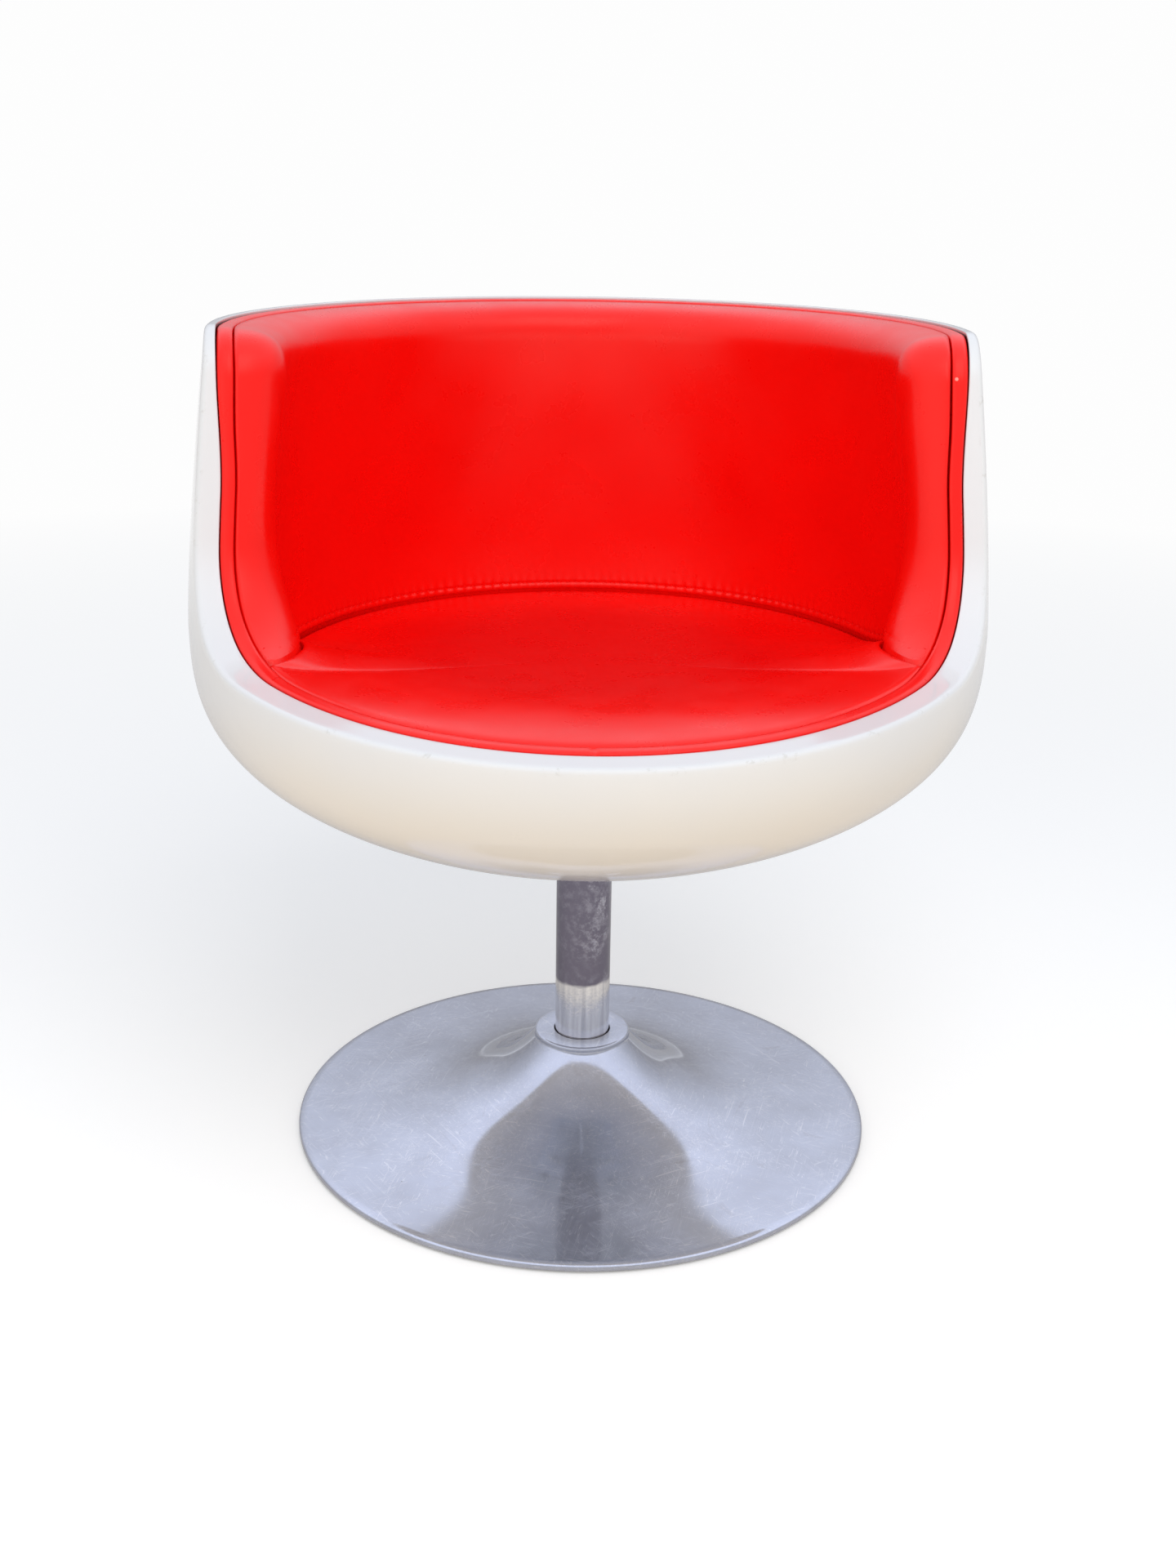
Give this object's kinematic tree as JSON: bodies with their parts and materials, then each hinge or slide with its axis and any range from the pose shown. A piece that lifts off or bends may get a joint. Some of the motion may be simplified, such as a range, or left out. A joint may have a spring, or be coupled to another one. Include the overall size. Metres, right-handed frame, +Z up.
{
  "type": "swivel cup chair",
  "caption": "Swivel tub chair: moulded cup shell with vinyl seat and back lining, turning on a steel column in a round trumpet base.",
  "frame": {"origin": "on the floor, on the swivel axis at the middle of the base", "axes": "+Z up along the swivel axis, -Y the way the sitter faces, +X to the sitter's left, which is the right of the picture when the chair is seen from the front"},
  "size_m": [0.672, 0.6707, 0.727],
  "materials": {
    "shell_gloss": "high gloss moulded shell, faint cream tint",
    "vinyl_red": "smooth semi-gloss vinyl with fine grain",
    "base_aluminium": "polished, lightly scratched",
    "column_chrome": "bright chrome plate",
    "steel_plain": "zinc plated",
    "bush_bronze": "sintered bronze",
    "rubber_black": "matt moulded rubber",
    "ply_birch": "plain plywood",
    "liner_grey": "moulded lining board"
  },
  "bodies": {
    "base": {"base_disc": "base_aluminium", "floor_ring": "rubber_black", "ballast_plate": "steel_plain", "spindle_washer": "steel_plain", "spindle_nut": "steel_plain", "spindle": "steel_plain", "bearing_lower_race": "column_chrome"},
    "seat": {"back_cushion": "vinyl_red", "back_liner": "liner_grey", "bearing_upper_race": "column_chrome", "bolt_washer_1": "steel_plain", "bolt_washer_2": "steel_plain", "bolt_washer_3": "steel_plain", "bolt_washer_4": "steel_plain", "border_strip": "vinyl_red", "column_plug": "steel_plain", "column_tube": "column_chrome", "gusset_1": "steel_plain", "gusset_2": "steel_plain", "gusset_3": "steel_plain", "gusset_4": "steel_plain", "inner_plate": "steel_plain", "lower_bush": "bush_bronze", "mounting_plate": "steel_plain", "outer_shell": "shell_gloss", "rubber_pad_1": "rubber_black", "rubber_pad_2": "rubber_black", "rubber_pad_3": "rubber_black", "rubber_pad_4": "rubber_black", "seat_board": "ply_birch", "seat_bolt_1": "steel_plain", "seat_bolt_2": "steel_plain", "seat_bolt_3": "steel_plain", "seat_bolt_4": "steel_plain", "seat_cushion": "vinyl_red", "seat_nut_1": "steel_plain", "seat_nut_2": "steel_plain", "seat_nut_3": "steel_plain", "seat_nut_4": "steel_plain", "upper_bush": "bush_bronze"},
    "bearing": {"bearing_cage": "bush_bronze", "bearing_ball_1": "column_chrome", "bearing_ball_2": "column_chrome", "bearing_ball_3": "column_chrome", "bearing_ball_4": "column_chrome", "bearing_ball_5": "column_chrome", "bearing_ball_6": "column_chrome", "bearing_ball_7": "column_chrome", "bearing_ball_8": "column_chrome"}
  },
  "joints": [
    {"name": "seat_swivel", "type": "hinge", "parent": "base", "child": "seat", "pos_m": [0, 0, 0.19], "axis": [0, 0, 1], "continuous": true},
    {"name": "bearing_turn", "type": "hinge", "parent": "base", "child": "bearing", "pos_m": [0, 0, 0.19], "axis": [0, 0, 1], "continuous": true}
  ],
  "couplings": [
    {"joint": "bearing_turn", "follows": "seat_swivel", "ratio": 0.5}
  ]
}
